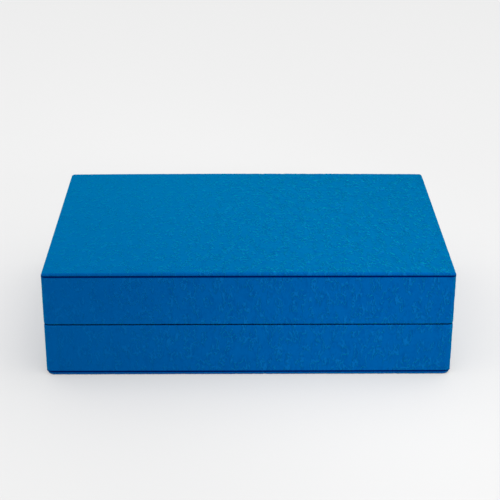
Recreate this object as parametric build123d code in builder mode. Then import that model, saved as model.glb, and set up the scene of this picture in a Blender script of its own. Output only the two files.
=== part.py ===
from build123d import *

import os

# Book-form archival box. A top cover, a spine and a base cover, joined by leather hinges, carry two
# equal trays that meet at mid height. The box opens like a book and lies flat. Each tray is a floor
# board with three walls, and the spine closes its fourth side. A bevelled collar stands up out of the
# lower tray and locates the upper one.
#
# Millimetres. +X runs along the long side, -Y is the fore edge, +Y is the spine and +Z is up. The
# origin is on the resting plane, below the middle of the closed box.

os.makedirs("parts", exist_ok=True)

# Overall sizes of the closed box
box_width = 340.0
box_depth = 231.0
box_height = 94.0

# Sheet materials
leather = 0.6
cover_core = 1.8
wall_board = 3.0
floor_board = 2.0
paper = 0.4
cloth = 0.4

# Covers
cover_thickness = leather + cover_core + leather
square = 0.2  # how far a cover stands out past the tray walls
cover_turn_in = 16.0  # how far the leather laps onto the inner face of a cover
base_corner_radius = 6.5
top_corner_radius = 1.6
outer_edge_radius = 1.3
inner_edge_radius = 1.4

# Spine and hinges. Each hinge axis lies in the leather, on the outer corner that it turns about.
joint_gap = 3.0  # from a hinge axis to the boards on both sides of it
joint_radius = 1.8  # outside of the closed bend
spine_corner_radius = 2.9
spine_board_radius = 1.2

# Trays
wall_corner_radius = 4.2  # as much as the wall is thick, so the inside corner is sharp
rim_radius = 0.9
rim_turn_in = 12.0  # how far the leather laps down the inside of a wall
foot_chamfer = 0.4
seam_gap = 0.8
spine_clearance = 0.5
mitre_reach = 20.0  # how far in from the outer corner the cuts between the walls run

# Collar of the lower tray. Its outer face leans in, so the upper tray swings clear of it.
collar_thickness = 3.6
collar_rise = 7.0  # above the lower rim
bevel_drop = 3.0  # the bevel starts this far below the lower rim
bevel = 2.25

# Places worked out from the sizes above
half_width = box_width / 2
front_y = -box_depth / 2
back_y = box_depth / 2
hinge_y = back_y - leather / 2
cover_back_y = hinge_y - joint_gap
board_back_y = cover_back_y - paper
spine_inner_y = back_y - cover_thickness
spine_low_z = leather / 2 + joint_gap
spine_height = box_height - 2 * spine_low_z
wall_outer_x = half_width - square
wall_front_y = front_y + square
wall_back_y = spine_inner_y - spine_clearance
wall_board_back_y = wall_back_y - leather
wall_skin = leather + wall_board  # leather and board together
wall_total = wall_skin + leather  # with the turn-in on the inside
rim_height = (box_height - seam_gap) / 2  # from either outer face of the box
floor_top = cover_thickness + floor_board
inner_x = wall_outer_x - wall_total
inner_front_y = wall_front_y + wall_total
past = 5.0  # how far a cutting shape runs past what it cuts

# Each half of the box is drawn on the plane of its outer face, with the plane's +Z pointing inwards
base_plane = Plane.XY
top_plane = Plane(origin=(0, 0, box_height), x_dir=(-1, 0, 0), z_dir=(0, 0, -1))


def box_plan(inset, end_y, radius):
    """Plan with rounded fore-edge corners, inset from the outline of the box and ending at end_y."""
    start_y = front_y + inset
    with BuildSketch() as plan:
        with Locations((0, (start_y + end_y) / 2)):
            Rectangle(2 * (half_width - inset), end_y - start_y)
        if radius:
            fillet(plan.vertices().group_by(Axis.Y)[0], radius)
    return plan.sketch


def wall_plan(inset, end_y):
    """Plan of a tray, inset from the outer face of its leather."""
    radius = 0 if inset >= wall_total else wall_corner_radius - inset
    return box_plan(square + inset, end_y, radius)


def wall_ring(outer_inset, inner_inset, end_y):
    """Three-sided band between two insets, open towards the spine."""
    with BuildSketch() as ring:
        add(wall_plan(outer_inset, end_y))
        add(wall_plan(inner_inset, end_y + past), mode=Mode.SUBTRACT)
    return ring.sketch


def back_plan(inset, inner_y, outer_y, radius):
    """Plan of a bar along the back of the box with rounded outer corners."""
    with BuildSketch() as plan:
        with Locations((0, (inner_y + outer_y) / 2)):
            Rectangle(2 * (half_width - inset), outer_y - inner_y)
        if radius:
            fillet(plan.vertices().group_by(Axis.Y)[-1], radius)
    return plan.sketch


def stretch_outline(side, end_y):
    """Outline that cuts one side out of a three-sided band, mitred at the fore-edge corners."""
    near_x = wall_outer_x - mitre_reach
    near_y = wall_front_y + mitre_reach
    outer_corner = (wall_outer_x, wall_front_y)
    near_corner = (near_x, near_y)
    if side == "front":
        return [(-wall_outer_x, wall_front_y), outer_corner, near_corner, (-near_x, near_y)]
    sign = 1 if side == "right" else -1
    points = (outer_corner, (wall_outer_x, end_y), (near_x, end_y), near_corner)
    return [(sign * x, y) for x, y in points]


def finish(name, builder):
    """Labels a finished piece and writes it."""
    builder.part.label = name
    export_step(builder.part, f"parts/{name}.step")


def sheet(name, plane, plan, depth, thickness):
    """Flat piece with one plan, lying depth below the outer face that plane stands for."""
    with BuildPart() as piece:
        with BuildSketch(plane.offset(depth)):
            add(plan)
        extrude(amount=thickness)
    finish(name, piece)


def cover(name, plane, corner_radius):
    """Core board, wrapped leather and levelling card of one cover."""
    inward = Axis(plane.origin, plane.z_dir)
    core_radius = corner_radius - leather
    with BuildPart() as skin:
        with BuildSketch(plane):
            add(box_plan(0, cover_back_y, corner_radius))
        extrude(amount=cover_thickness)
        for face_index, edge_radius in ((0, outer_edge_radius), (-1, inner_edge_radius)):
            face = skin.faces().sort_by(inward)[face_index]
            fillet(face.edges().sort_by(Axis.Y)[:-1], edge_radius)
        with BuildSketch(plane.offset(leather)):
            add(box_plan(leather, cover_back_y + past, core_radius))
        extrude(amount=cover_core, mode=Mode.SUBTRACT)
        with BuildSketch(plane.offset(leather)):
            add(box_plan(cover_turn_in, cover_back_y + past, leather))
            add(back_plan(leather, board_back_y, cover_back_y + past, 0))
        extrude(amount=cover_thickness, mode=Mode.SUBTRACT)
    finish(f"{name}_cover_leather", skin)
    sheet(f"{name}_cover_board", plane, box_plan(leather, board_back_y, core_radius), leather, cover_core)
    card_plan = box_plan(cover_turn_in, board_back_y, leather)
    sheet(f"{name}_levelling_card", plane, card_plan, leather + cover_core, leather)


def tray(name, plane):
    """Floor board, three mitred walls and wrapped leather of one tray."""
    inward = Axis(plane.origin, plane.z_dir)
    wall_height = rim_height - leather - cover_thickness
    sheet(f"{name}_tray_floor", plane, wall_plan(wall_skin, board_back_y), cover_thickness, floor_board)

    # The plane of the upper tray looks down, so its own right is on the other side
    own_side = {"front": "front", "left": "left", "right": "right"}
    if plane.x_dir.X < 0:
        own_side = {"front": "front", "left": "right", "right": "left"}
    for side, drawn_side in own_side.items():
        with BuildSketch() as wall_area:
            add(wall_ring(leather, wall_skin, wall_board_back_y))
            with BuildLine():
                Polyline(*stretch_outline(drawn_side, wall_board_back_y), close=True)
            make_face(mode=Mode.INTERSECT)
        sheet(f"{name}_{side}_wall", plane, wall_area.sketch, cover_thickness, wall_height)

    with BuildPart() as skin:
        with BuildSketch(plane.offset(cover_thickness)):
            add(wall_plan(0, wall_back_y))
        extrude(amount=rim_height - cover_thickness)
        foot = skin.faces().sort_by(inward)[0]
        chamfer(foot.edges().sort_by(Axis.Y)[:-1], foot_chamfer)
        with BuildSketch(plane.offset(cover_thickness)):
            add(wall_plan(wall_total, wall_back_y + past))
        extrude(amount=rim_height, mode=Mode.SUBTRACT)
        fillet(skin.faces().sort_by(inward)[-1].edges(), rim_radius)
        with BuildSketch(plane.offset(cover_thickness)):
            add(wall_ring(leather, wall_skin, wall_board_back_y))
        extrude(amount=wall_height, mode=Mode.SUBTRACT)
        with BuildSketch(plane.offset(cover_thickness)):
            add(wall_ring(wall_skin, wall_total + past, wall_back_y))
        extrude(amount=rim_height - rim_turn_in - cover_thickness, mode=Mode.SUBTRACT)
    finish(f"{name}_tray_leather", skin)


def floor_paper(name, plane, inset):
    """Lining paper of a tray floor, folded down over the back edges of the floor and the cover."""
    section = Plane(plane.origin, x_dir=plane.y_dir, z_dir=plane.x_dir)
    with BuildPart() as lining:
        with BuildSketch(plane.offset(floor_top)):
            add(wall_plan(inset, cover_back_y))
        extrude(amount=paper)
        for reach, low, high in (
            (inner_x, cover_thickness, floor_top + paper),
            (half_width - leather, leather, cover_thickness),
        ):
            with BuildSketch(section):
                with Locations((cover_back_y - paper / 2, (low + high) / 2)):
                    Rectangle(paper, high - low)
            extrude(amount=reach, both=True)
    finish(f"{name}_floor_lining", lining)


def collar_profile(skin):
    """Section of a collar strip, from its outer face inwards, with skin taken off all but its foot."""
    top = rim_height + collar_rise - skin
    return (
        (skin, floor_top),
        (skin, rim_height - bevel_drop),
        (bevel + skin, top),
        (collar_thickness - skin, top),
        (collar_thickness - skin, floor_top),
    )


def collar(side, section):
    """Board and covering cloth of one collar strip. The section plane looks along the strip."""
    for name, outer_skin, inner_skin in (("board", cloth, None), ("cloth", 0, cloth)):
        with BuildPart() as strip:
            with BuildSketch(section):
                with BuildLine():
                    Polyline(*collar_profile(outer_skin), close=True)
                make_face()
                if inner_skin:
                    with BuildLine():
                        Polyline(*collar_profile(inner_skin), close=True)
                    make_face(mode=Mode.SUBTRACT)
            extrude(amount=half_width, both=True)
            with BuildSketch():
                with BuildLine():
                    Polyline(*stretch_outline(side, board_back_y), close=True)
                make_face()
            extrude(amount=box_height, mode=Mode.INTERSECT)
        finish(f"collar_{side}_{name}", strip)


def joint(name, plane):
    """Hinge leather and the cloth glued inside it, bent round the corner from a cover to the spine."""
    section = Plane(plane.origin, x_dir=plane.y_dir, z_dir=plane.x_dir)
    for layer, skin_depth, thickness in (("leather", 0, leather), ("cloth", leather, cloth)):
        middle = skin_depth + thickness / 2
        with BuildPart() as strip:
            with BuildSketch(section):
                with BuildLine():
                    FilletPolyline(
                        (cover_back_y, middle),
                        (back_y - middle, middle),
                        (back_y - middle, spine_low_z),
                        radius=joint_radius - middle,
                    )
                trace(line_width=thickness)
            extrude(amount=half_width, both=True)
            with BuildSketch(plane):
                add(back_plan(0, cover_back_y - past, back_y, spine_corner_radius))
            extrude(amount=spine_low_z, mode=Mode.INTERSECT)
        finish(f"{name}_joint_{layer}", strip)


def spine():
    """Board, wrapped leather and inner lining of the spine."""
    foot = Plane.XY.offset(spine_low_z)
    board_inner_y = spine_inner_y + leather
    board_plan = back_plan(leather, board_inner_y, back_y - leather, spine_board_radius)
    lining_plan = back_plan(cover_turn_in, spine_inner_y, board_inner_y, 0)
    with BuildPart() as skin:
        with BuildSketch(foot):
            add(back_plan(0, spine_inner_y, back_y, spine_corner_radius))
            add(board_plan, mode=Mode.SUBTRACT)
            add(lining_plan, mode=Mode.SUBTRACT)
        extrude(amount=spine_height)
    finish("spine_leather", skin)
    sheet("spine_board", foot, board_plan, 0, spine_height)
    sheet("spine_lining", foot, lining_plan, 0, spine_height)


cover("base", base_plane, base_corner_radius)
cover("top", top_plane, top_corner_radius)
tray("lower", base_plane)
tray("upper", top_plane)
spine()
joint("base", base_plane)
joint("top", top_plane)

collar("front", Plane((0, inner_front_y, 0), x_dir=(0, 1, 0), z_dir=(1, 0, 0)))
collar("left", Plane((-inner_x, 0, 0), x_dir=(1, 0, 0), z_dir=(0, -1, 0)))
collar("right", Plane((inner_x, 0, 0), x_dir=(-1, 0, 0), z_dir=(0, 1, 0)))

floor_paper("lower", base_plane, wall_total + collar_thickness)
floor_paper("upper", top_plane, wall_skin + paper)
upper_walls = wall_ring(wall_skin, wall_skin + paper, wall_back_y)
sheet("upper_wall_lining", top_plane, upper_walls, floor_top, rim_height - rim_turn_in - floor_top)
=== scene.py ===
import math

import bmesh
import bpy
import numpy as np
from mathutils import Matrix, Vector


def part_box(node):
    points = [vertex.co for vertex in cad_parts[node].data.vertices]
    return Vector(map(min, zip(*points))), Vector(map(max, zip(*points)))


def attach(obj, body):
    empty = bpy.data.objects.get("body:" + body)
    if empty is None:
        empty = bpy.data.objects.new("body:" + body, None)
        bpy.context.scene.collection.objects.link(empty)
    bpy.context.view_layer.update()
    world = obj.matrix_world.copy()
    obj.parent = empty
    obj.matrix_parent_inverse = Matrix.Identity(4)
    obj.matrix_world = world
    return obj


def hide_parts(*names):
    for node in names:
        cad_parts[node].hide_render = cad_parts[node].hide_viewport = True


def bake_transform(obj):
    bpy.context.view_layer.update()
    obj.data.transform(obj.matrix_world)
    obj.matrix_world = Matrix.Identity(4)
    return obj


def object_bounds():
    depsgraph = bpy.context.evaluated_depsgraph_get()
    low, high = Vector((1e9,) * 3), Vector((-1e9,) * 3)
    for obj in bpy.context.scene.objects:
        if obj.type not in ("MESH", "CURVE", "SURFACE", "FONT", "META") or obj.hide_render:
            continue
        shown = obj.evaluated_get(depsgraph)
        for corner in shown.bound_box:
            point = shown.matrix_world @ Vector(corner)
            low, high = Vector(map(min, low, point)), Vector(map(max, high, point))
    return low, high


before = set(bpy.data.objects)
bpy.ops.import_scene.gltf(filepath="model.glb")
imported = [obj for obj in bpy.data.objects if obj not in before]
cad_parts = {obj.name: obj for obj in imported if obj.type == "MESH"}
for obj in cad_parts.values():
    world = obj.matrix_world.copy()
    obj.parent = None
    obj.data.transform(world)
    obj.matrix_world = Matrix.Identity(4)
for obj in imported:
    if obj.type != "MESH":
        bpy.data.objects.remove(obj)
cad_low, cad_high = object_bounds()

MM = 0.001

# ---------------------------------------------------------------- places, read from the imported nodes

HALF_WIDTH, BACK_Y, HEIGHT = cad_high
FRONT_Y = cad_low.y
COVER_BACK_Y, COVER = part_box("base_cover_leather")[1].yz
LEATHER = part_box("base_cover_board")[0].z
BOARD_BACK_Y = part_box("base_cover_board")[1].y
TURN_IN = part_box("base_levelling_card")[0].y - FRONT_Y
WALL_X, WALL_BACK_Y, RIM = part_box("lower_tray_leather")[1]
WALL_FRONT_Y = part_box("lower_tray_leather")[0].y
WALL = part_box("collar_front_cloth")[0].y - WALL_FRONT_Y
RIM_TURN_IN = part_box("upper_wall_lining")[0].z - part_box("upper_tray_leather")[0].z
FLOOR_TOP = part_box("lower_tray_floor")[1].z
COLLAR_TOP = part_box("collar_front_cloth")[1].z
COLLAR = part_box("collar_front_cloth")[1].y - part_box("collar_front_cloth")[0].y
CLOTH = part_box("collar_front_board")[0].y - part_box("collar_front_cloth")[0].y
SPINE_INNER_Y, JOINT_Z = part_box("spine_leather")[0].yz

# ---------------------------------------------------------------- shape of the leather over the boards

TOP_CORNER = 1.6 * MM
BASE_CORNER = 6.5 * MM
WALL_CORNER = WALL + 0.3 * MM  # wider than the wall is thick, so that its inside is rounded too
EDGE_ROUND = 1.3 * MM  # outer edge of a cover
JOINT_ROUND = 1.2 * MM  # inner edge of a cover, beside the tray
RIM_ROUND = 0.9 * MM
FOOT_ROUND = 0.45 * MM
FOOT_DIP = 0.25 * MM  # how far the foot of a wall is pressed into the rounded edge of the cover
SIDE_FULLNESS = 0.9 * MM  # how far the leather of the side walls stands out over its boards
WALL_END_ROUND = 0.5 * MM
SPINE_ROUND = 2.9 * MM
BACK_CORNER = 3.6 * MM  # corners of a cover's outer face at the hinge
BACK_CORNER_REACH = 0.97 * BACK_CORNER  # part of that arc that is used, short of its upright end
BEND_ROUND = 1.8 * MM  # outside of the bend in a hinge
CURL_DEPTH = 1.3 * MM  # how far the ends of a hinge strip turn down
LINING_CURL = 0.6 * MM  # radius at the ends of a hinge's cloth
CROWN = 0.7 * MM  # how much the top cover stands up in its middle

WALL_PITCH = 0.85 * MM  # spacing of the points that carry the grain
TOP_PITCH = 1.02 * MM
BASE_PITCH = 1.3 * MM
COARSE = 3.0 * MM  # spacing where little grain shows
WELD = 0.002 * MM  # points nearer to each other than this become one
SHARP = math.radians(50)  # edges that turn by more than this are shaded sharp

# ---------------------------------------------------------------- camera

LENS = 97.0
CAMERA_AT = Vector((-0.0088, -1.1141, 0.5573))
CAMERA_YAW, CAMERA_PITCH, CAMERA_ROLL = (math.radians(a) for a in (0.555, 23.885, 0.13))


def make_camera():
    """The camera of the main view: in front of the fore edge, looking down on it."""
    data = bpy.data.cameras.new("camera")
    data.lens = LENS
    camera = bpy.data.objects.new("camera", data)
    bpy.context.scene.collection.objects.link(camera)
    level = math.cos(CAMERA_PITCH)
    ahead = Vector((math.sin(CAMERA_YAW) * level, math.cos(CAMERA_YAW) * level, -math.sin(CAMERA_PITCH)))
    side = Vector((math.cos(CAMERA_YAW), -math.sin(CAMERA_YAW), 0))
    side = side * math.cos(CAMERA_ROLL) + side.cross(ahead) * math.sin(CAMERA_ROLL)
    turn = Matrix((side, side.cross(ahead), -ahead)).transposed()
    camera.matrix_world = Matrix.Translation(CAMERA_AT) @ turn.to_4x4()
    bpy.context.scene.camera = camera


make_camera()


# ---------------------------------------------------------------- grain of the leather, and painted shade along the joints

GRAIN_DEPTH = 0.20 * MM
PULLED = 0.45  # the grain is drawn out along the sheet, to the inverse of this
LEAST_GRAIN = 0.45  # strength of the grain where it is weakest, in its relief and in its painted highlight and shade
PAINTED_SHADE_WIDTH = 0.8 * MM  # how far the painted shade of a joint spreads over the leather
UPPER_SHEET, LOWER_SHEET = (2.0, 0.0), (4.0, 0.0)  # where on the skin the leather of each tray is cut


def waves(flat, wavelength, stretch, seed, count=36):
    """Smooth random field over the flat leather, of unit spread and longer along its second axis."""
    draw = np.random.default_rng(seed)
    heading = draw.uniform(0, 2 * np.pi, count)
    number = 2 * np.pi / (wavelength * draw.uniform(0.7, 1.5, count))
    phase = draw.uniform(0, 2 * np.pi, count)
    total = np.zeros(len(flat))
    for k, angle, start in zip(number, heading, phase):
        total += np.cos(flat[:, 0] * k * math.cos(angle) + flat[:, 1] * k * math.sin(angle) / stretch + start)
    return total * math.sqrt(2 / count)


def ease(values, low, high):
    """0 below low, 1 above high, and smooth between them."""
    t = np.clip((values - low) / (high - low), 0, 1)
    return t * t * (3 - 2 * t)


def creases(flat):
    """Depth of the wrinkles at each point of the flat leather, from 0 on the plateaus to about 1."""
    bent = flat + 0.9 * MM * np.stack([waves(flat, 7 * MM, 1, 11), waves(flat, 7 * MM, 1, 12)], -1)
    long_lines = np.exp(-(waves(bent, 6.5 * MM, 1.3, 21) / 0.30) ** 2)
    short_lines = np.exp(-(waves(bent, 4.5 * MM, 1.1, 22) / 0.36) ** 2)
    long_lines *= ease(waves(flat, 11 * MM, 1.2, 23), -0.5, 0.5)
    short_lines *= ease(waves(flat, 8 * MM, 1.2, 24), -0.2, 0.8)
    pebble = 0.16 * np.maximum(1 + waves(bent, 3.2 * MM, 1.1, 25), 0)
    return np.maximum(long_lines, 0.8 * short_lines) + pebble


def grain_strength(points):
    """How strong the grain is at places on the box: weaker towards its left and its back, both in its relief
    and in the painted highlight and shade of its ridges, as the light from the right shows the grain less
    there.
    """
    rightwards = points[..., 0] - 0.35 * points[..., 1]
    return LEAST_GRAIN + (1 - LEAST_GRAIN) * ease(rightwards, -130 * MM, 50 * MM)


def painted_joint_shade(points):
    """Painted shade along the joints between the covers and the trays: how dark the leather is made there."""
    z = points[..., 2]
    distance = np.minimum(abs(z - COVER), abs(z - HEIGHT + COVER))
    return np.exp(-(distance / PAINTED_SHADE_WIDTH) ** 2)


# ---------------------------------------------------------------- sections

# A section is a row of points (inset, height, normal along inset, normal along height, share of the
# grain). Inset and height are measured inwards from two outer faces that meet at right angles.

def run(start, end, spacing, share=1.0):
    """Straight part of a section."""
    start, end = np.array(start), np.array(end)
    length = math.dist(start, end)
    t = np.linspace(0, 1, max(1, math.ceil(length / spacing)) + 1)[:, None]
    normal = np.array([start[1] - end[1], end[0] - start[0]]) / length
    return np.hstack([start + t * (end - start), 0 * t + normal, 0 * t + share])


def bend(centre, radius, start, turn, share=1.0, count=4):
    """Arc of a section, in degrees, with its normal away from the centre."""
    angle = np.radians(np.linspace(start, start + turn, count + 1))[:, None]
    normal = np.hstack([np.cos(angle), np.sin(angle)])
    return np.hstack([np.array(centre) + radius * normal, normal, 0 * angle + share])


def corners(*places):
    """Sharp points of a section that nobody sees."""
    return np.array([(inset, height, 0, 0, 0) for inset, height in places])


def section(*parts):
    """One section out of parts that follow on from each other."""
    return np.vstack([parts[0], *[part[1:] for part in parts[1:]]])


def travelled(places):
    """Distance along a row of places to each of them."""
    return np.concatenate([[0], np.cumsum(np.hypot(*np.diff(places[:, :2], axis=0).T))])


def spaced(start, end, pitch):
    """Evenly spaced values from start to end."""
    return np.linspace(start, end, math.ceil(abs(end - start) / pitch) + 1)


# ---------------------------------------------------------------- skins

class Skin:
    """Mesh made of grids. Each point keeps its place on the flat leather and the depth of grain there."""

    def __init__(self):
        self.points, self.flat, self.faces = [], [], []
        # shade holds the painted shade along the joints at each point
        self.depth, self.strength, self.shade = [], [], []

    def grid(self, points, normals, flat, share):
        """Adds rows of points, sunk along their normals by the grain, and the faces between them."""
        rows, columns = points.shape[:2]
        share = np.broadcast_to(share, (rows, columns))
        depth = np.zeros((rows, columns))
        strength = grain_strength(points)
        if share.any():
            depth[share > 0] = creases(flat[share > 0]) * (share * strength)[share > 0]
        index = len(self.points) + np.arange(rows * columns).reshape(rows, columns)
        self.points.extend((points - normals * depth[..., None] * GRAIN_DEPTH).reshape(-1, 3))
        self.flat.extend(flat.reshape(-1, 2))
        self.depth.extend(depth.ravel())
        self.strength.extend(strength.ravel())
        # painted shade along the joints of the closed box
        self.shade.extend(painted_joint_shade(points).ravel())
        around = index[:-1, :-1], index[1:, :-1], index[1:, 1:], index[:-1, 1:]
        self.faces.extend(np.stack(around, -1).reshape(-1, 4).tolist())
        return index

    def point(self, *place):
        """Adds one point with no grain."""
        self.points.append(np.array(place))
        self.flat.append(np.zeros(2))
        self.depth.append(0.0)
        self.strength.append(0.0)
        self.shade.append(0.0)
        return len(self.points) - 1

    def close_end(self, outside, inside):
        """Covers an end of a hollow section: its outside, its hollow, and the foot between the two."""
        foot = outside[-1], inside[0], inside[-1], outside[0]
        self.faces.extend([list(outside), list(inside), list(foot)])

    def build(self, name, material):
        """Welds the grids, closes what is still open, and makes the object."""
        mesh = bpy.data.meshes.new(name)
        mesh.from_pydata(np.array(self.points).tolist(), [], self.faces)
        place = mesh.attributes.new("flat", "FLOAT_VECTOR", "POINT")
        place.data.foreach_set("vector", np.pad(np.array(self.flat), ((0, 0), (0, 1))).ravel())
        # the shade attribute carries the painted shade along the joints to the material
        for measure, values in (("crease", self.depth), ("strength", self.strength), ("shade", self.shade)):
            mesh.attributes.new(measure, "FLOAT", "POINT").data.foreach_set("value", values)
        work = bmesh.new()
        work.from_mesh(mesh)
        bmesh.ops.remove_doubles(work, verts=work.verts, dist=WELD)
        bmesh.ops.holes_fill(work, edges=[e for e in work.edges if e.is_boundary], sides=0)
        bmesh.ops.recalc_face_normals(work, faces=work.faces)
        work.to_mesh(mesh)
        work.free()
        mesh.shade_smooth()
        mesh.set_sharp_from_angle(angle=SHARP)
        mesh.materials.append(material)
        piece = bpy.data.objects.new(name, mesh)
        bpy.context.scene.collection.objects.link(piece)
        return piece


class Plan:
    """Way round the left, front and right of a cover or tray, with rounded fore-edge corners."""

    def __init__(self, half_width, front_y, back_y, radius, pitch, end_round=0.0):
        self.half_width, self.front_y, self.back_y, self.radius = half_width, front_y, back_y, radius
        self.end_round = end_round
        inner_x, inner_y = half_width - radius, front_y + radius
        self.xs = spaced(-inner_x, inner_x, pitch)
        self.ys = spaced(back_y - end_round, inner_y, pitch)
        if end_round:
            rounded = back_y - end_round + end_round * np.cos(np.linspace(0, np.pi / 2, 5))
            self.ys = np.concatenate([rounded, self.ys[1:]])
        turn = np.linspace(0, np.pi / 2, 7)
        side, front, corner = np.ones_like(self.ys), np.ones_like(self.xs), np.ones_like(turn)
        stretches = (
            (-inner_x * side, self.ys, -side, 0 * side),
            (-inner_x * corner, inner_y * corner, -np.cos(turn), -np.sin(turn)),
            (self.xs, inner_y * front, 0 * front, -front),
            (inner_x * corner, inner_y * corner, np.sin(turn), -np.cos(turn)),
            (inner_x * side, self.ys[::-1], side, 0 * side),
        )
        way = np.hstack([np.array(stretch) for stretch in stretches]).T
        self.centre, self.out = way[:, :2], way[:, 2:]
        self.along = travelled(self.centre + self.out * radius)

    def ring(self, inset):
        """Points of the way at an inset from the outline, mitred where the inset is past the radius."""
        extra = max(inset - self.radius, 0)
        inner_x = self.half_width - self.radius
        depth = self.back_y - self.front_y - self.radius
        origin = np.array([0, self.back_y])
        shrink = np.array([1 - extra / inner_x, 1 - extra / depth])
        return origin + (self.centre - origin) * shrink + self.out * max(self.radius - inset, 0)

    def sweep(self, profile, outer_z, inward, ends):
        """Carries a section round the way. Each of its points stops at its own y in ends."""
        points, normals = [], []
        for (inset, height, normal_inset, normal_height, _), end_y in zip(profile, ends):
            ring = self.ring(inset)
            level = np.ones((len(ring), 1))
            place = np.hstack([ring, level * (outer_z + inward * height)])
            normal = np.hstack([-normal_inset * self.out, level * inward * normal_height])
            if self.end_round and end_y == self.back_y:
                lean = np.clip(ring[:, 1:] - self.back_y + self.end_round, 0, None) / self.end_round
                upright = np.sqrt(np.clip(1 - lean ** 2, 0, 1))
                place -= normal * self.end_round * (1 - upright)
                normal = normal * upright + lean * np.array([0, 1, 0])
            place[:, 1] = np.minimum(place[:, 1], end_y)
            points.append(place)
            normals.append(normal)
        return np.array(points), np.array(normals)


# ---------------------------------------------------------------- leather of the covers and trays

BEND_LENGTH = BACK_Y - COVER_BACK_Y + JOINT_Z - 2 * BEND_ROUND + BEND_ROUND * math.pi / 2
SHEET_LENGTH = 2 * (COVER_BACK_Y + BEND_LENGTH) + HEIGHT - 2 * JOINT_Z


def cover_leather(name, material, outer_z, inward, corner, pitch):
    """Leather of a cover: the outer face, the rounded edge, the turn-ins and the side on the board."""
    plan = Plan(HALF_WIDTH, FRONT_Y, COVER_BACK_Y, corner, pitch)
    outside = section(
        run((corner, 0), (EDGE_ROUND, 0), pitch),
        bend((EDGE_ROUND, EDGE_ROUND), EDGE_ROUND, -90, -90),
        run((0, EDGE_ROUND), (0, COVER - JOINT_ROUND), pitch),
        bend((JOINT_ROUND, COVER - JOINT_ROUND), JOINT_ROUND, 180, -90, 0.3),
    )
    turn_in = section(
        run((JOINT_ROUND, COVER), (TURN_IN, COVER), COARSE, 0),
        corners((TURN_IN, COVER), (TURN_IN, COVER - LEATHER), (LEATHER, COVER - LEATHER)),
    )[1:]
    hidden = corners((LEATHER, LEATHER))
    profile = np.vstack([outside, turn_in, hidden])
    ends = [COVER_BACK_Y] * len(outside) + [BOARD_BACK_Y] * len(turn_in) + [COVER_BACK_Y]
    points, normals = plan.sweep(profile, outer_z, inward, ends)
    flat = plan.centre + plan.out * travelled(profile)[:, None, None]
    x, y = np.meshgrid(plan.xs, plan.ys)
    face = np.stack([x, y, 0 * x + outer_z], -1)
    face_flat = np.stack([x, y], -1)
    if inward > 0:
        flat[..., 1] = SHEET_LENGTH - flat[..., 1]
        face_flat[..., 1] = SHEET_LENGTH - y
    pull = np.array([1, PULLED])
    skin = Skin()
    skin.grid(face, np.zeros_like(face) - [0, 0, inward], face_flat * pull, 1.0)
    index = skin.grid(points, normals, flat * pull, profile[:, 4:])
    skin.faces.append(index[-1].tolist())
    return skin.build(name, material)


def tray_leather(name, material, outer_z, inward, sheet_at):
    """Leather of the three walls of a tray: the outside, over the rim and down the inside."""
    plan = Plan(WALL_X, WALL_FRONT_Y, WALL_BACK_Y, WALL_CORNER, WALL_PITCH, WALL_END_ROUND)
    deep, turned = WALL - LEATHER, RIM - RIM_TURN_IN
    foot = COVER - FOOT_DIP
    outside = section(
        bend((FOOT_ROUND, foot + FOOT_ROUND), FOOT_ROUND, -90, -90, 0),
        run((0, foot + FOOT_ROUND), (0, RIM - RIM_ROUND), WALL_PITCH),
        bend((RIM_ROUND, RIM - RIM_ROUND), RIM_ROUND, 180, -90),
        run((RIM_ROUND, RIM), (WALL - RIM_ROUND, RIM), WALL_PITCH, 0.8),
        bend((WALL - RIM_ROUND, RIM - RIM_ROUND), RIM_ROUND, 90, -90, 0.6),
        run((WALL, RIM - RIM_ROUND), (WALL, turned), 2 * WALL_PITCH, 0.5),
    )
    hollow = corners((deep, turned), (deep, RIM - LEATHER), (LEATHER, RIM - LEATHER), (LEATHER, COVER))
    profile = np.vstack([outside, hollow, outside[:1]])
    ends = [WALL_BACK_Y] * len(outside) + [WALL_BACK_Y - LEATHER] * len(hollow) + [WALL_BACK_Y]
    points, normals = plan.sweep(profile, outer_z, inward, ends)
    along, up = np.meshgrid(plan.along, travelled(profile))
    up[-1] = 0
    skin = Skin()
    flat = np.stack([along, PULLED * up], -1) + sheet_at
    outer_share = 1 - np.clip(profile[:, 0] / WALL, 0, 1)
    outer_share[len(outside):-1] = 0
    points[..., 0] *= 1 + outer_share[:, None] * SIDE_FULLNESS / WALL_X
    index = skin.grid(points, normals, flat, profile[:, 4:])
    for column in (0, -1):
        x = points[len(outside), column, 0]
        ledge = skin.point(x, WALL_BACK_Y, outer_z + inward * turned)
        foot_outside = skin.point(x, WALL_BACK_Y, outer_z + inward * COVER)
        foot_inside = skin.point(x, WALL_BACK_Y - LEATHER, outer_z + inward * COVER)
        outer_end, inner_end = index[:len(outside), column], index[len(outside):-1, column]
        skin.close_end([*outer_end, ledge, foot_outside], [foot_inside, *inner_end])
        skin.faces.append([outer_end[-1], ledge, inner_end[0]])
        skin.faces.append([ledge, foot_outside, foot_inside, inner_end[0]])
    return skin.build(name, material)


# ---------------------------------------------------------------- spine and hinges

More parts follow.
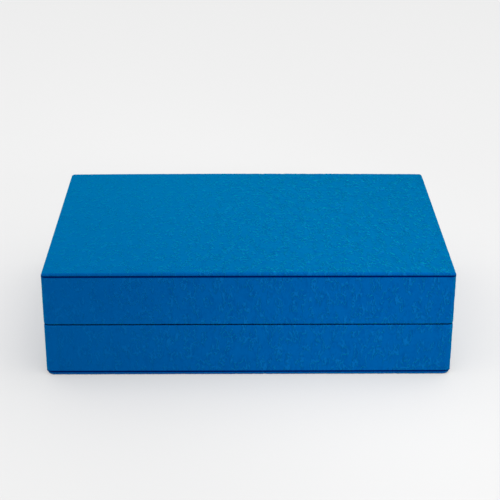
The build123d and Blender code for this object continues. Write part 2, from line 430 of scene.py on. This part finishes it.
def spine_leather(name, material):
    """Leather of the spine: the back, the rounded ends, the turn-ins and the side on the board."""
    across = np.vstack([
        section(
            run((HALF_WIDTH, 0), (SPINE_ROUND, 0), WALL_PITCH),
            bend((SPINE_ROUND, SPINE_ROUND), SPINE_ROUND, -90, -90, count=6),
            run((0, SPINE_ROUND), (0, COVER), WALL_PITCH),
            run((0, COVER), (TURN_IN, COVER), COARSE, 0.5),
        ),
        corners((TURN_IN, COVER - LEATHER), (LEATHER, COVER - LEATHER)),
        corners((LEATHER, LEATHER), (HALF_WIDTH, LEATHER)),
    ])
    inset, height, normal_inset, normal_height, share = across.T
    z = spaced(JOINT_Z, HEIGHT - JOINT_Z, WALL_PITCH)[:, None]
    level = np.ones_like(z)
    skin = Skin()
    for side in (1, -1):
        points = np.stack([level * side * (HALF_WIDTH - inset), level * (BACK_Y - height), z + 0 * inset], -1)
        normals = np.stack([-level * side * normal_inset, -level * normal_height, 0 * z * inset], -1)
        u = level * side * travelled(across)
        v = COVER_BACK_Y + BEND_LENGTH + HEIGHT - JOINT_Z - z + 0 * inset
        skin.grid(points, normals, np.stack([u, PULLED * v], -1), share)
    return skin.build(name, material)


def hinge_strip(name, material, top, depths, half_width, curls, share):
    """Strip bent round the corner from a cover to the spine, between two depths below the outer face.

    Its ends turn down, in arcs of the first radius in curls at the cover and the second at the spine.
    """
    inset, height, normal_inset, normal_height, _ = section(
        run((BACK_Y - COVER_BACK_Y, 0), (BEND_ROUND, 0), WALL_PITCH),
        bend((BEND_ROUND, BEND_ROUND), BEND_ROUND, -90, -90, count=6),
        run((0, BEND_ROUND), (0, JOINT_Z), WALL_PITCH),
    ).T[..., None]
    travel = travelled(np.hstack([inset, height]))[:, None]
    radius = np.interp(travel, (0, travel[-1, 0]), curls)
    turned = np.arccos(1 - np.minimum(CURL_DEPTH / radius, 1))
    spread = spaced(0, 1, WALL_PITCH / half_width)[None]
    curl = np.linspace(0, 1, 6)[None, 1:]
    angle = np.hstack([0 * radius * spread, turned * curl])
    middle = np.hstack([(half_width - radius) * spread, half_width - radius + 0 * curl])
    drop = radius * (1 - np.cos(angle))
    v = COVER_BACK_Y + travel if top else SHEET_LENGTH - COVER_BACK_Y - travel
    skin = Skin()
    for side in (1, -1):
        lean, rise = np.sin(angle), np.cos(angle)
        normals = np.stack([side * lean, -normal_inset * rise, normal_height * rise], -1)
        base = np.stack([
            side * (middle + radius * lean),
            BACK_Y - inset + drop * normal_inset,
            height - drop * normal_height,
        ], -1)
        points = np.hstack([base - depths[0] * normals, (base - depths[1] * normals)[:, ::-1]])
        normals = np.hstack([normals, 0 * normals])
        flat = np.stack([side * (middle + radius * angle), PULLED * v + 0 * angle], -1)
        flat = np.hstack([flat, flat[:, ::-1]])
        if top:
            points[..., 2] = HEIGHT - points[..., 2]
            normals[..., 2] *= -1
        shares = np.repeat((share, 0), angle.shape[1])
        skin.grid(points, normals, flat, shares)
    return skin.build(name, material)


def spine_lining(name, material):
    """Paper on the inside of the spine, folded over the two long edges of its board."""
    fold, soft, pitch = 0.35 * MM, 0.1 * MM, 20 * MM
    near, far = SPINE_INNER_Y, BACK_Y - LEATHER - CLOTH - soft
    half = [
        (far, JOINT_Z),
        (far, JOINT_Z - fold),
        (near + fold, JOINT_Z - fold),
        (near + soft, JOINT_Z - fold + soft),
        (near, JOINT_Z),
    ]
    mirrored = [(y, HEIGHT - z) for y, z in half[::-1]]
    on_board = [(near + LEATHER, HEIGHT - JOINT_Z), (near + LEATHER, JOINT_Z)]
    places = np.array([*half, *mirrored, *on_board, half[0]])
    x = spaced(TURN_IN - HALF_WIDTH, HALF_WIDTH - TURN_IN, pitch)[:, None]
    points = np.stack([x + 0 * places[:, 0], 0 * x + places[:, 0], 0 * x + places[:, 1]], -1)
    skin = Skin()
    skin.grid(points, 0 * points, points[..., (0, 2)], 0.0)
    return skin.build(name, material)


def collar_cloth(name, material):
    """Cloth over the three strips of the collar, soft at its edges and mitred at its corners."""
    past_board = 0.1 * MM
    plan = Plan(WALL_X - WALL, WALL_FRONT_Y + WALL, BOARD_BACK_Y + past_board, 0, COARSE)
    lean, kink, nose = 2.25 * MM, RIM - 3 * MM, 0.5 * MM
    wide, narrow = 10 * MM, 2 * MM
    outside = section(
        run((0, FLOOR_TOP), (0, kink), wide, 0),
        run((0, kink), (lean, COLLAR_TOP - nose), narrow, 0),
        run((lean, COLLAR_TOP - nose), (lean + nose, COLLAR_TOP), narrow, 0),
        run((lean + nose, COLLAR_TOP), (COLLAR - nose, COLLAR_TOP), narrow, 0),
        bend((COLLAR - nose, COLLAR_TOP - nose), nose, 90, -90, 0),
        run((COLLAR, COLLAR_TOP - nose), (COLLAR, FLOOR_TOP), wide, 0),
    )
    hollow = corners(
        (COLLAR - CLOTH, FLOOR_TOP),
        (COLLAR - CLOTH, COLLAR_TOP - CLOTH),
        (lean + CLOTH, COLLAR_TOP - CLOTH),
        (CLOTH, kink),
        (CLOTH, FLOOR_TOP),
    )
    profile = np.vstack([outside, hollow, outside[:1]])
    ends = [plan.back_y] * len(outside) + [BOARD_BACK_Y] * len(hollow) + [plan.back_y]
    points, normals = plan.sweep(profile, 0, 1, ends)
    along, up = np.meshgrid(plan.along, travelled(profile))
    skin = Skin()
    index = skin.grid(points, normals, np.stack([along, up], -1), 0.0)
    for column in (0, -1):
        skin.close_end(index[:len(outside), column], index[len(outside):-1, column])
    return skin.build(name, material)


def reshape(piece, change):
    """Moves the points of a finished piece in the way that change says."""
    mesh = piece.data
    places = np.empty(len(mesh.vertices) * 3)
    mesh.vertices.foreach_get("co", places)
    places = places.reshape(-1, 3)
    change(places)
    mesh.vertices.foreach_set("co", places.ravel())
    mesh.update()


def raise_crown(places):
    """Lifts the middle of the top cover's face a little, as pasted boards warp."""
    near_face = np.clip((places[:, 2] - HEIGHT + COVER) / COVER, 0, 1)
    places[:, 2] += CROWN * (1 - (places[:, 0] / HALF_WIDTH) ** 2) * near_face


def round_back_corners(places):
    """Draws in the back corners of a cover's outer face, where the leather folds into the hinge."""
    near_face = ease(np.maximum(places[:, 2] - HEIGHT, -places[:, 2]) + JOINT_Z, 0, JOINT_Z)
    reach = np.clip(places[:, 1] - BACK_Y + BACK_CORNER, 0, BACK_CORNER_REACH)
    drawn_in = BACK_CORNER - np.sqrt(BACK_CORNER ** 2 - reach ** 2)
    places[:, 0] *= 1 - near_face * drawn_in / HALF_WIDTH


# ---------------------------------------------------------------- materials

class Shading:
    """A new material, with short ways to add nodes, links and values."""

    def __init__(self, name):
        self.material = bpy.data.materials.new(name)
        self.material.use_nodes = True
        self.tree = self.material.node_tree
        self.shader = self.tree.nodes["Principled BSDF"]

    def node(self, kind, values=(), **settings):
        """Adds a node with settings, and values or links for its inputs."""
        made = self.tree.nodes.new(kind)
        for setting, value in settings.items():
            setattr(made, setting, value)
        self.set(made, dict(values))
        return made

    def set(self, node, values):
        """Gives inputs of a node their values, or links them to another node's output."""
        for key, value in values.items():
            if isinstance(value, bpy.types.NodeSocket):
                self.tree.links.new(value, node.inputs[key])
            else:
                node.inputs[key].default_value = value

    def finish(self, **values):
        """Sets the shader's inputs, named with underscores for spaces."""
        self.set(self.shader, {key.replace("_", " "): value for key, value in values.items()})
        return self.material

    def attribute(self, name, output="Fac"):
        """What the points of the mesh store under that name."""
        return self.node("ShaderNodeAttribute", attribute_name=name).outputs[output]

    def noise(self, place, scale, detail=2.0, roughness=0.5, output="Fac"):
        """Value of a noise of that scale, or its colour."""
        values = {"Vector": place, "Scale": scale, "Detail": detail, "Roughness": roughness}
        return self.node("ShaderNodeTexNoise", values).outputs[output]

    def math(self, operation, *values):
        """Result of a sum on node outputs and numbers."""
        return self.node("ShaderNodeMath", enumerate(values), operation=operation).outputs[0]

    def vector(self, operation, *values):
        """Result of a vector sum."""
        return self.node("ShaderNodeVectorMath", enumerate(values), operation=operation).outputs[0]

    def spread(self, value, low, high, to_low=0.0, to_high=1.0):
        """Value eased from one range to another."""
        values = {"Value": value, "From Min": low, "From Max": high, "To Min": to_low, "To Max": to_high}
        return self.node("ShaderNodeMapRange", values, interpolation_type="SMOOTHSTEP").outputs[0]

    def blend(self, factor, first, second, kind="MIX"):
        """Mix of two colours."""
        mixed = self.node("ShaderNodeMix", data_type="RGBA", blend_type=kind)
        self.set(mixed, {0: factor, 6: first, 7: second})
        return mixed.outputs[2]

    def bump(self, height, distance, strength=1.0):
        """Surface normal raised by a height."""
        values = {"Height": height, "Distance": distance, "Strength": strength}
        return self.node("ShaderNodeBump", values).outputs[0]


def leather_material():
    """Blue leather with fine ridges between the modelled wrinkles, pores and a cyan sheen, with a painted
    highlight on the ridges and painted shade beside them, in the wrinkles, in recesses and along the joints.
    """
    shading = Shading("blue_leather")
    flat = shading.attribute("flat", "Vector")
    crease = shading.attribute("crease")

    # Fine ridges lie along the middle values of a bent noise, in patches, with low bands beside them. The
    # ridges get a painted highlight and the bands beside them a painted shade, as a light from one side gives
    # the relief.
    swirl = shading.noise(flat, 260.0, 1.0, output="Color")
    bent = shading.vector("MULTIPLY_ADD", swirl, (2.4 * MM, 2.4 * MM, 0.0), flat)
    off_line = shading.math("ABSOLUTE", shading.math("SUBTRACT", shading.noise(bent, 330.0, 1.0, 0.4), 0.5))
    patches = shading.spread(shading.noise(flat, 170.0, 1.0), 0.46, 0.54)
    patches = shading.math("MULTIPLY", patches, shading.attribute("strength"))
    ridge = shading.math("MULTIPLY", shading.spread(off_line, 0.03, 0.07, 1.0, 0.0), patches)
    painted_valley_shade = shading.math("MULTIPLY", shading.spread(off_line, 0.07, 0.14), patches)
    pores = shading.noise(flat, 1500.0, 2.0)

    # Painted shade: the colour darkens and the sheen fades where other surfaces are close, read from ambient
    # occlusion, and along the joints of the closed box.
    shade_occlusion = shading.node("ShaderNodeAmbientOcclusion", {"Distance": 2.0 * MM}, samples=6)
    free_of_painted_shade = shading.spread(shade_occlusion.outputs["AO"], 0.40, 0.75)
    off_painted_joint_shade = shading.spread(shading.attribute("shade"), 0.0, 0.85, 1.0, 0.0)
    free_of_painted_shade = shading.math("MULTIPLY", free_of_painted_shade, off_painted_joint_shade)

    colour =shading.blend(shading.noise(flat, 55.0, 3.0), (0.0, 0.055, 0.205, 1), (0.0, 0.063, 0.226, 1))
    # painted highlight on the ridges
    colour = shading.blend(shading.math("MULTIPLY", ridge, 0.32), colour, (0.002, 0.100, 0.30, 1))
    # painted shade beside the ridges
    colour = shading.blend(shading.math("MULTIPLY", painted_valley_shade, 0.18), colour, (0.0, 0.030, 0.14, 1))
    # painted shade in the modelled wrinkles, darker where they are deeper
    colour = shading.blend(shading.math("MULTIPLY", crease, 0.5), colour, (0.60, 0.76, 0.84, 1), "MULTIPLY")
    # painted shade in recesses and along the joints
    colour = shading.blend(free_of_painted_shade, (0.0, 0.003, 0.055, 1), colour)
    height = shading.math("MULTIPLY_ADD", pores, 0.04, ridge)
    return shading.finish(
        Base_Color=colour,
        Normal=shading.bump(height, 0.45 * MM),
        Roughness=0.5,
        Specular_IOR_Level=0.0,
        # the sheen is taken away where the shade is painted
        Sheen_Weight=shading.math("MULTIPLY", free_of_painted_shade, 0.22),
        Sheen_Roughness=0.4,
        Sheen_Tint=(0.0, 0.95, 0.42, 1),
    )


def paper_material():
    """Ivory lining paper with a cloudy tone and short fibres."""
    shading = Shading("lining_paper")
    place = shading.node("ShaderNodeTexCoord").outputs["Object"]
    cloud = shading.noise(place, 90.0, 4.0)
    fibre = shading.noise(shading.vector("MULTIPLY", place, (1.0, 0.25, 1.0)), 1800.0, 3.0, 0.7)
    return shading.finish(
        Base_Color=shading.blend(cloud, (0.46, 0.42, 0.33, 1), (0.55, 0.51, 0.42, 1)),
        Normal=shading.bump(fibre, 0.04 * MM, 0.6),
        Roughness=0.85,
        Specular_IOR_Level=0.1,
    )


def board_material():
    """Grey pressed board with flecks and a layered cut edge."""
    shading = Shading("grey_board")
    place = shading.node("ShaderNodeTexCoord").outputs["Object"]
    fleck = shading.noise(place, 900.0, 3.0, 0.6)
    layer = shading.noise(shading.vector("MULTIPLY", place, (0.05, 0.05, 1.0)), 4000.0, 1.0)
    colour = shading.blend(fleck, (0.20, 0.20, 0.19, 1), (0.34, 0.33, 0.30, 1))
    return shading.finish(
        Base_Color=shading.blend(shading.math("MULTIPLY", layer, 0.4), colour, (0.26, 0.25, 0.23, 1)),
        Normal=shading.bump(fleck, 0.05 * MM, 0.5),
        Roughness=0.9,
    )


def cloth_material():
    """Dark blue book cloth in a plain weave."""
    shading = Shading("blue_cloth")
    threads = {"Vector": shading.attribute("flat", "Vector"), "Scale": 420.0}
    warp = shading.node("ShaderNodeTexWave", threads, bands_direction="X").outputs["Fac"]
    weft = shading.node("ShaderNodeTexWave", threads, bands_direction="Y").outputs["Fac"]
    weave = shading.math("MULTIPLY", warp, weft)
    return shading.finish(
        Base_Color=shading.blend(weave, (0.002, 0.018, 0.080, 1), (0.004, 0.036, 0.130, 1)),
        Normal=shading.bump(weave, 0.08 * MM),
        Roughness=0.8,
        Specular_IOR_Level=0.05,
    )


leather = leather_material()
paper = paper_material()
board = board_material()
cloth = cloth_material()


# ---------------------------------------------------------------- pieces

def stand_in(piece, body, slot, *nodes):
    """Rides a finished piece on its body, in place of CAD nodes."""
    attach(piece, body)
    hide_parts(*nodes)


top_skin = cover_leather("top_cover_skin", leather, HEIGHT, -1, TOP_CORNER, TOP_PITCH)
reshape(top_skin, raise_crown)
reshape(top_skin, round_back_corners)
stand_in(top_skin, "lid", "blue_leather", "top_cover_leather")
base_skin = cover_leather("base_cover_skin", leather, 0.0, 1, BASE_CORNER, BASE_PITCH)
reshape(base_skin, round_back_corners)
stand_in(base_skin, "base", "blue_leather", "base_cover_leather")
upper_skin = tray_leather("upper_tray_skin", leather, HEIGHT, -1, UPPER_SHEET)
stand_in(upper_skin, "lid", "blue_leather", "upper_tray_leather")
lower_skin = tray_leather("lower_tray_skin", leather, 0.0, 1, LOWER_SHEET)
stand_in(lower_skin, "base", "blue_leather", "lower_tray_leather")
stand_in(spine_leather("spine_skin", leather), "spine", "blue_leather", "spine_leather")
stand_in(spine_lining("spine_paper", paper), "spine", "lining_paper", "spine_lining")
collar_nodes = [f"collar_{side}_cloth" for side in ("front", "left", "right")]
stand_in(collar_cloth("collar_skin", cloth), "base", "blue_cloth", *collar_nodes)


def hinge(cover, top):
    """Leather strip and cloth lining of one hinge, which bend between a cover and the spine."""
    strip = hinge_strip(
        f"{cover}_hinge_skin", leather, top,
        depths=(0, LEATHER), half_width=HALF_WIDTH, curls=(EDGE_ROUND, SPINE_ROUND), share=1.0,
    )
    if top:
        reshape(strip, raise_crown)
    lining = hinge_strip(
        f"{cover}_hinge_lining", cloth, top,
        depths=(LEATHER, LEATHER + CLOTH), half_width=HALF_WIDTH - SPINE_ROUND,
        curls=(LINING_CURL, LINING_CURL), share=0,
    )
    low, high = LEATHER / 2, JOINT_Z
    if top:
        low, high = HEIGHT - low, HEIGHT - high
    for piece, slot, layer in ((strip, "blue_leather", "leather"), (lining, "blue_cloth", "cloth")):
        reshape(piece, round_back_corners)
        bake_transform(piece)
        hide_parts(f"{cover}_joint_{layer}")


hinge("base", False)
hinge("top", True)

for name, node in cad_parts.items():
    finish = board
    if "leather" in name:
        finish = leather
    elif "cloth" in name:
        finish = cloth
    elif "lining" in name:
        finish = paper
    for place in node.material_slots:
        place.material = finish


# ---------------------------------------------------------------- studio

def studio_floor():
    """Large pale floor under the object."""
    mesh = bpy.data.meshes.new("studio_floor")
    size = 12.0
    outline = [(-size, -size, 0), (size, -size, 0), (size, size, 0), (-size, size, 0)]
    mesh.from_pydata(outline, [], [(0, 1, 2, 3)])
    floor = bpy.data.objects.new("studio_floor", mesh)
    bpy.context.scene.collection.objects.link(floor)
    mesh.materials.append(Shading("studio_floor").finish(
        Base_Color=(0.33, 0.33, 0.33, 1),
        Roughness=0.9,
        Specular_IOR_Level=0.0,
        Emission_Color=(1.0, 1.0, 1.0, 1),
        Emission_Strength=0.30,
    ))


def place_lamp(data, place, aim):
    """Puts a lamp in the scene and turns it to what it lights."""
    made = bpy.data.objects.new(data.name, data)
    made.location = place
    made.rotation_euler = (Vector(aim) - Vector(place)).to_track_quat("-Z", "Y").to_euler()
    bpy.context.scene.collection.objects.link(made)


def panel_lamp(name, place, size, power):
    """Soft square lamp that faces the box."""
    data = bpy.data.lights.new(name, "AREA")
    data.size = size
    data.energy = power
    place_lamp(data, place, (0, 0, 0))


def spot_lamp(name, place, aim, spread, softness, power):
    """Lamp with a narrow beam that fades towards its edge."""
    data = bpy.data.lights.new(name, "SPOT")
    data.spot_size = math.radians(spread)
    data.spot_blend = 1.0
    data.shadow_soft_size = softness
    data.energy = power
    place_lamp(data, place, aim)


def studio():
    """Bright even surroundings, and lamps from the right that leave the left of the box darker."""
    world = bpy.data.worlds.new("studio")
    world.use_nodes = True
    background = world.node_tree.nodes["Background"]
    background.inputs["Color"].default_value = (1.0, 1.0, 1.0, 1)
    background.inputs["Strength"].default_value = 1.6
    bpy.context.scene.world = world
    bpy.context.scene.view_settings.view_transform = "Standard"
    panel_lamp("front_lamp", place=(-0.6, -2.6, 1.6), size=1.6, power=7)
    panel_lamp("top_lamp", place=(0.25, 0.0, 1.4), size=0.8, power=4)
    on_walls, on_cover = (0.10, -0.115, 0.05), (0.11, 0.01, 0.09)
    spot_lamp("wall_spot", (0.5, -1.2, 0.5), on_walls, spread=18, softness=0.12, power=42)
    spot_lamp("cover_spot", (0.4, -0.5, 1.4), on_cover, spread=22, softness=0.15, power=15)


studio_floor()
studio()
